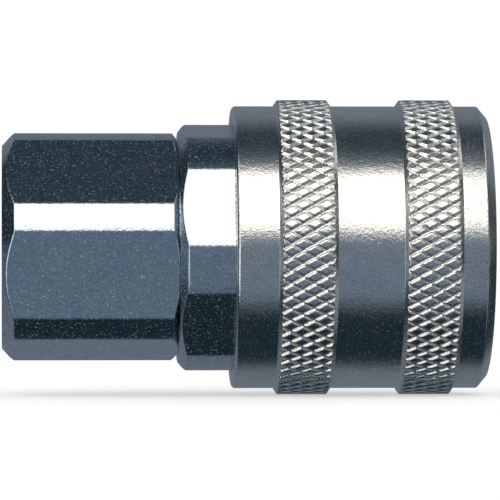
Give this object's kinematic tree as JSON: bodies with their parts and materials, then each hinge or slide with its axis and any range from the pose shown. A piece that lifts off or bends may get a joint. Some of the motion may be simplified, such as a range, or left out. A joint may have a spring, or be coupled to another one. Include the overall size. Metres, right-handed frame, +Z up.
{
  "type": "quick disconnect coupler",
  "caption": "Compressed-air quick coupler socket: threaded hexagon adapter, hexagon collar, and a sprung knurled sleeve that is drawn back to free the plug.",
  "frame": {"origin": "on the coupler's axis, halfway between the port face and the front face of the sleeve", "axes": "+X along the axis towards the mouth that takes the plug, -X towards the threaded port, +Z up"},
  "size_m": [0.043, 0.0262, 0.0262],
  "materials": {
    "dark_nickel": "turned and milled steel, nickel plated, satin",
    "satin_nickel": "turned steel, nickel plated, fine circumferential grain",
    "spring_steel": "drawn wire and stamped strip, smooth",
    "ball_steel": "ground and polished",
    "brass": "turned, bare",
    "seal_rubber": "nitrile rubber, moulded, matt"
  },
  "bodies": {
    "root": {"threaded_adapter": "dark_nickel", "valve_body": "dark_nickel", "adapter_o_ring": "seal_rubber", "valve_guide": "brass", "valve_spring": "spring_steel", "plug_seal": "seal_rubber", "retaining_ring": "spring_steel", "sleeve_spring": "spring_steel"},
    "washer": {"spring_washer": "spring_steel"},
    "sleeve": {"locking_sleeve": "satin_nickel"},
    "poppet": {"valve_poppet": "brass", "poppet_seal": "seal_rubber"},
    "ball_1": {"locking_ball_1": "ball_steel"},
    "ball_2": {"locking_ball_2": "ball_steel"},
    "ball_3": {"locking_ball_3": "ball_steel"},
    "ball_4": {"locking_ball_4": "ball_steel"},
    "ball_5": {"locking_ball_5": "ball_steel"},
    "ball_6": {"locking_ball_6": "ball_steel"},
    "ball_7": {"locking_ball_7": "ball_steel"},
    "ball_8": {"locking_ball_8": "ball_steel"}
  },
  "joints": [
    {"name": "sleeve_slide", "type": "slide", "parent": "root", "child": "washer", "axis": [-1, 0, 0], "range_m": [0, 0.0035], "stiffness_N_per_m": 270, "springref_m": -0.014, "deforming": ["sleeve_spring"]},
    {"name": "sleeve_spin", "type": "hinge", "parent": "washer", "child": "sleeve", "pos_m": [0, 0, 0], "axis": [1, 0, 0], "continuous": true},
    {"name": "poppet_slide", "type": "slide", "parent": "root", "child": "poppet", "axis": [-1, 0, 0], "range_m": [0, 0.0034], "stiffness_N_per_m": 150, "springref_m": -0.006, "deforming": ["valve_spring"]},
    {"name": "ball_1_lift", "type": "slide", "parent": "root", "child": "ball_1", "axis": [0, -0.3827, 0.9239], "range_m": [0, 0.001]},
    {"name": "ball_2_lift", "type": "slide", "parent": "root", "child": "ball_2", "axis": [0, -0.9239, 0.3827], "range_m": [0, 0.001]},
    {"name": "ball_3_lift", "type": "slide", "parent": "root", "child": "ball_3", "axis": [0, -0.9239, -0.3827], "range_m": [0, 0.001]},
    {"name": "ball_4_lift", "type": "slide", "parent": "root", "child": "ball_4", "axis": [0, -0.3827, -0.9239], "range_m": [0, 0.001]},
    {"name": "ball_5_lift", "type": "slide", "parent": "root", "child": "ball_5", "axis": [0, 0.3827, -0.9239], "range_m": [0, 0.001]},
    {"name": "ball_6_lift", "type": "slide", "parent": "root", "child": "ball_6", "axis": [0, 0.9239, -0.3827], "range_m": [0, 0.001]},
    {"name": "ball_7_lift", "type": "slide", "parent": "root", "child": "ball_7", "axis": [0, 0.9239, 0.3827], "range_m": [0, 0.001]},
    {"name": "ball_8_lift", "type": "slide", "parent": "root", "child": "ball_8", "axis": [0, 0.3827, 0.9239], "range_m": [0, 0.001]}
  ],
  "couplings": [
    {"joint": "ball_1_lift", "follows": "sleeve_slide", "ratio": 0.2857},
    {"joint": "ball_2_lift", "follows": "sleeve_slide", "ratio": 0.2857},
    {"joint": "ball_3_lift", "follows": "sleeve_slide", "ratio": 0.2857},
    {"joint": "ball_4_lift", "follows": "sleeve_slide", "ratio": 0.2857},
    {"joint": "ball_5_lift", "follows": "sleeve_slide", "ratio": 0.2857},
    {"joint": "ball_6_lift", "follows": "sleeve_slide", "ratio": 0.2857},
    {"joint": "ball_7_lift", "follows": "sleeve_slide", "ratio": 0.2857},
    {"joint": "ball_8_lift", "follows": "sleeve_slide", "ratio": 0.2857}
  ]
}
